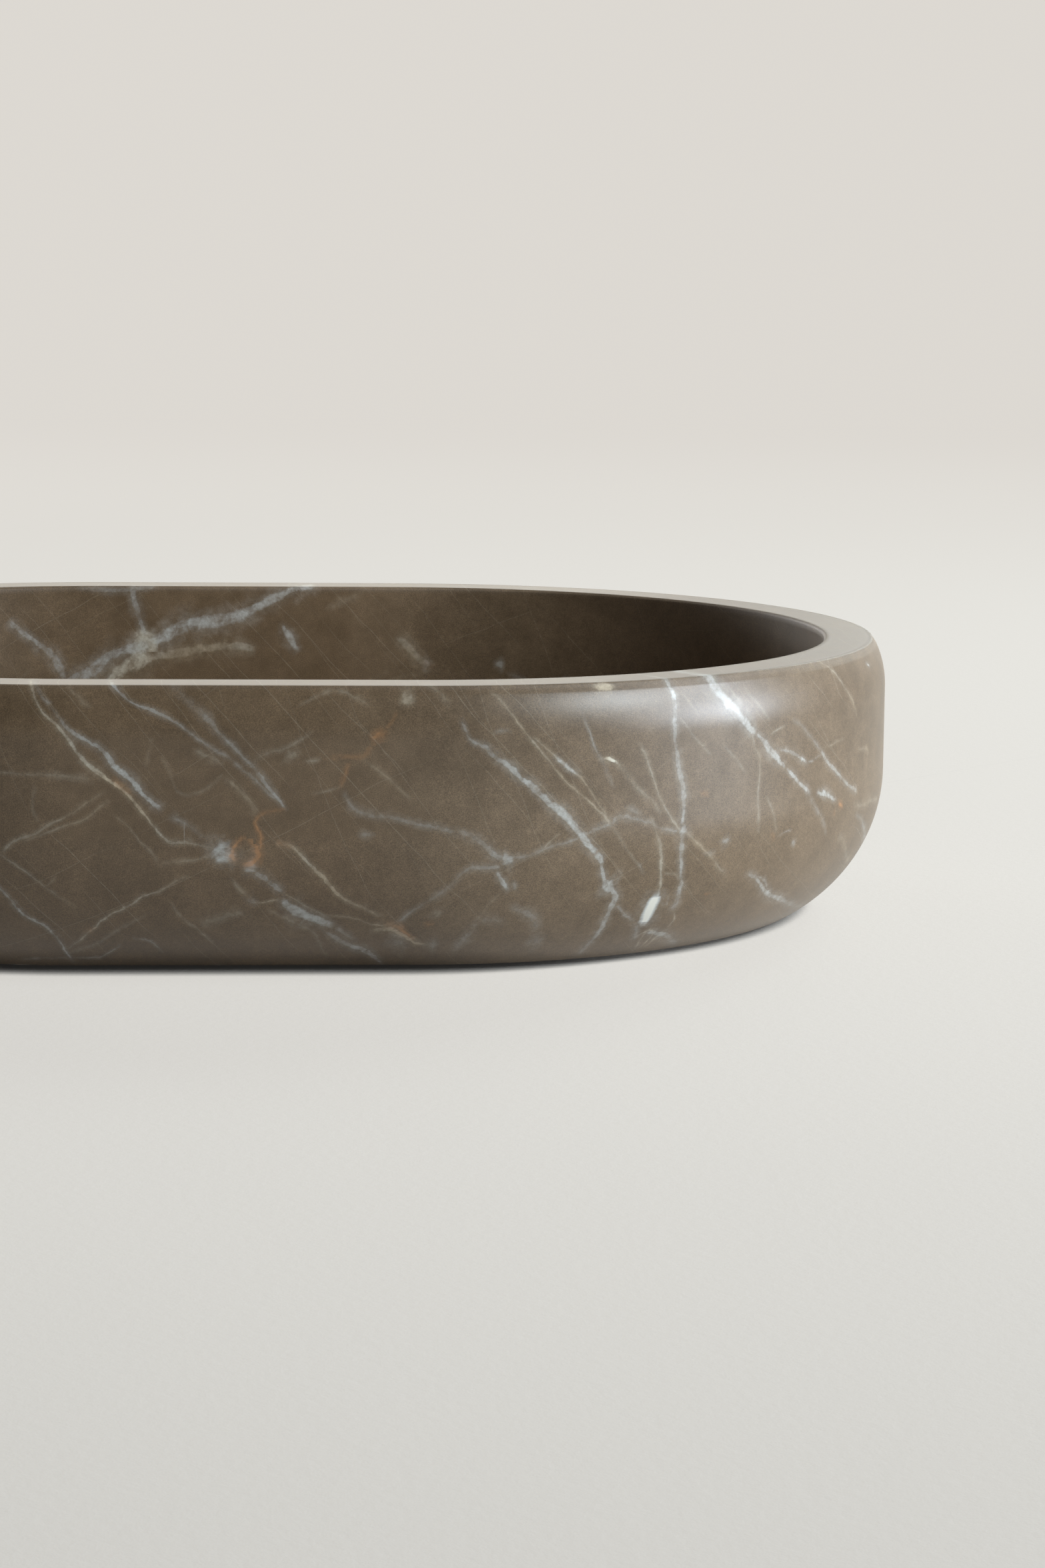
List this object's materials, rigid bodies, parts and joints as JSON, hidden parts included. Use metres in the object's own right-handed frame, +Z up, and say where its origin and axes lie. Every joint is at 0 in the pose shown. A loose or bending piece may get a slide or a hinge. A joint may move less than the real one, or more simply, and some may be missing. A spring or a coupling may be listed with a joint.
{
  "type": "soap dish",
  "caption": "Low stadium-shaped soap dish carved from honed brown marble, with a plain open hollow, a flat rim, a rounded belly and thin pads under its base.",
  "frame": {"origin": "middle of the footprint, on the surface that the dish stands on", "axes": "+X along the dish's length, -Y towards its front, +Z up"},
  "size_m": [0.12, 0.091, 0.0255],
  "materials": {
    "marble": "satin",
    "pad_rubber": "matte"
  },
  "bodies": {
    "root": {"dish_body": "marble", "pad_front_left": "pad_rubber", "pad_front_right": "pad_rubber", "pad_back_left": "pad_rubber", "pad_back_right": "pad_rubber"}
  },
  "joints": []
}
